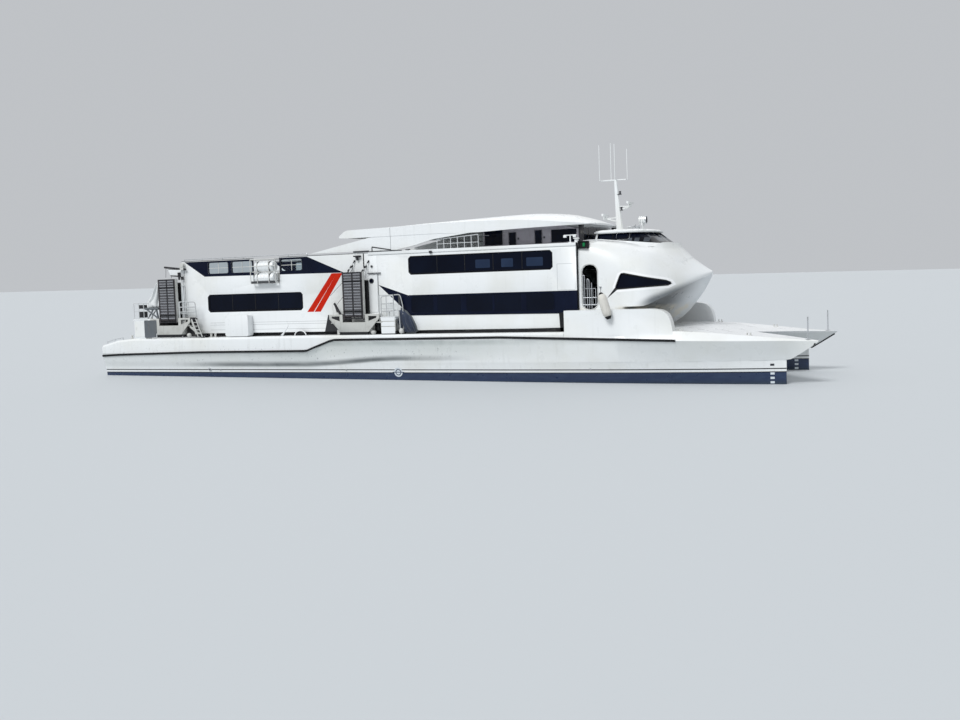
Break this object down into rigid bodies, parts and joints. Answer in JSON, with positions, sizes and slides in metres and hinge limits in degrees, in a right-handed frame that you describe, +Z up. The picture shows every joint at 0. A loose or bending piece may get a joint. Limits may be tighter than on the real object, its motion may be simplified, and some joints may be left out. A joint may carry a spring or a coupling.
{
  "type": "passenger ferry",
  "caption": "Fast two-deck passenger catamaran with slim hulls, a pronged foredeck, a beaked nose with the wheelhouse, a canopy, folding gangways and waterjets.",
  "frame": {"origin": "amidships on the centreline, at the waterline", "axes": "+X forward to the bows, +Y to port, +Z up"},
  "size_m": [39.8, 10.527, 13.25],
  "materials": {
    "hull_paint": "white topsides over navy antifouling",
    "deck_white": "satin white deck and upper topsides",
    "side_paint": "gloss white with navy band and red stripes",
    "white_paint": "gloss white",
    "grey_paint": "satin light grey",
    "deck_coating": "anti-slip coating",
    "dark_glass": "tinted glazing, near black",
    "black_rubber": "matt",
    "bright_steel": "tube",
    "cast_steel": "dull",
    "weathered_alloy": "weathered",
    "slate_paint": "satin slate blue",
    "fender_white": "scuffed"
  },
  "bodies": {
    "ship": {"hull_starboard": "hull_paint", "hull_port": "hull_paint", "stern_block_starboard": "hull_paint", "stern_block_port": "hull_paint", "bridge_deck": "deck_white", "foredeck": "deck_white", "strake_starboard": "black_rubber", "strake_port": "black_rubber", "cabin_floor": "grey_paint", "aft_side_starboard": "side_paint", "aft_side_port": "side_paint", "forward_side_starboard": "side_paint", "forward_side_port": "side_paint", "saloon_glass_starboard": "dark_glass", "saloon_glass_port": "dark_glass", "lower_glass_starboard": "dark_glass", "lower_glass_port": "dark_glass", "upper_glass_starboard": "dark_glass", "upper_glass_port": "dark_glass", "aft_bulkhead": "white_paint", "sundeck": "deck_coating", "upper_floor": "deck_coating", "upper_bulkhead": "white_paint", "roof_deck": "white_paint", "nose_shell": "white_paint", "wheelhouse_roof": "white_paint", "canopy": "white_paint", "roof_house": "grey_paint", "mast": "white_paint", "platform_aft_starboard": "grey_paint", "platform_aft_port": "grey_paint", "platform_mid_starboard": "grey_paint", "platform_mid_port": "grey_paint", "locker_starboard": "white_paint", "locker_port": "white_paint", "raft_rack_starboard": "grey_paint", "raft_rack_port": "grey_paint", "bow_post_starboard": "cast_steel", "bow_post_port": "cast_steel", "fairing_starboard": "slate_paint", "fairing_port": "slate_paint", "fender": "fender_white", "wheelhouse_glass": "dark_glass"},
    "gangway_aft_starboard": {"gangway_aft_starboard": "weathered_alloy"},
    "gangway_aft_port": {"gangway_aft_port": "weathered_alloy"},
    "gangway_mid_starboard": {"gangway_mid_starboard": "weathered_alloy"},
    "gangway_mid_port": {"gangway_mid_port": "weathered_alloy"},
    "radar_forward": {"radar_forward": "white_paint"},
    "radar_aft": {"radar_aft": "white_paint"},
    "side_door_starboard": {"side_door_starboard": "white_paint"},
    "side_door_port": {"side_door_port": "white_paint"},
    "aft_door": {"aft_door": "white_paint"},
    "upper_door": {"upper_door": "white_paint"},
    "gate_starboard": {"gate_starboard": "bright_steel"},
    "gate_port": {"gate_port": "bright_steel"},
    "nozzle_starboard": {"nozzle_starboard": "cast_steel"},
    "nozzle_port": {"nozzle_port": "cast_steel"},
    "bucket_starboard": {"bucket_starboard": "cast_steel"},
    "bucket_port": {"bucket_port": "cast_steel"}
  },
  "joints": [
    {"name": "gangway_aft_starboard_hinge", "type": "hinge", "parent": "ship", "child": "gangway_aft_starboard", "pos_m": [-15, -4.98, 3.2], "axis": [1, 0, 0], "range_deg": [0, 95]},
    {"name": "gangway_aft_port_hinge", "type": "hinge", "parent": "ship", "child": "gangway_aft_port", "pos_m": [-15, 4.98, 3.2], "axis": [-1, 0, 0], "range_deg": [0, 95]},
    {"name": "gangway_mid_starboard_hinge", "type": "hinge", "parent": "ship", "child": "gangway_mid_starboard", "pos_m": [-3.05, -4.98, 3.2], "axis": [1, 0, 0], "range_deg": [0, 95]},
    {"name": "gangway_mid_port_hinge", "type": "hinge", "parent": "ship", "child": "gangway_mid_port", "pos_m": [-3.05, 4.98, 3.2], "axis": [-1, 0, 0], "range_deg": [0, 95]},
    {"name": "radar_forward_spin", "type": "hinge", "parent": "ship", "child": "radar_forward", "pos_m": [10.38, 0, 8.56], "axis": [0, 0, 1], "continuous": true},
    {"name": "radar_aft_spin", "type": "hinge", "parent": "ship", "child": "radar_aft", "pos_m": [9.06, 0, 8], "axis": [0, 0, 1], "continuous": true},
    {"name": "side_door_starboard_slide", "type": "slide", "parent": "ship", "child": "side_door_starboard", "axis": [-1, 0, 0], "range_m": [0, 1.15]},
    {"name": "side_door_port_slide", "type": "slide", "parent": "ship", "child": "side_door_port", "axis": [-1, 0, 0], "range_m": [0, 1.15]},
    {"name": "aft_door_slide", "type": "slide", "parent": "ship", "child": "aft_door", "axis": [0, 1, 0], "range_m": [0, 1.25]},
    {"name": "upper_door_slide", "type": "slide", "parent": "ship", "child": "upper_door", "axis": [0, 1, 0], "range_m": [0, 0.95]},
    {"name": "gate_starboard_hinge", "type": "hinge", "parent": "ship", "child": "gate_starboard", "pos_m": [9.25, -4.185, 3.98], "axis": [0, 0, 1], "range_deg": [0, 90]},
    {"name": "gate_port_hinge", "type": "hinge", "parent": "ship", "child": "gate_port", "pos_m": [9.25, 4.185, 3.98], "axis": [0, 0, -1], "range_deg": [0, 90]},
    {"name": "nozzle_starboard_steer", "type": "hinge", "parent": "ship", "child": "nozzle_starboard", "pos_m": [-19.1, -3.7, -0.15], "axis": [0, 0, 1], "range_deg": [-30, 30]},
    {"name": "nozzle_port_steer", "type": "hinge", "parent": "ship", "child": "nozzle_port", "pos_m": [-19.1, 3.7, -0.15], "axis": [0, 0, 1], "range_deg": [-30, 30]},
    {"name": "bucket_starboard_hinge", "type": "hinge", "parent": "nozzle_starboard", "child": "bucket_starboard", "pos_m": [-19.3, -3.7, -0.15], "axis": [0, -1, 0], "range_deg": [0, 55]},
    {"name": "bucket_port_hinge", "type": "hinge", "parent": "nozzle_port", "child": "bucket_port", "pos_m": [-19.3, 3.7, -0.15], "axis": [0, -1, 0], "range_deg": [0, 55]}
  ],
  "couplings": [
    {"joint": "nozzle_port_steer", "follows": "nozzle_starboard_steer", "ratio": 1}
  ]
}
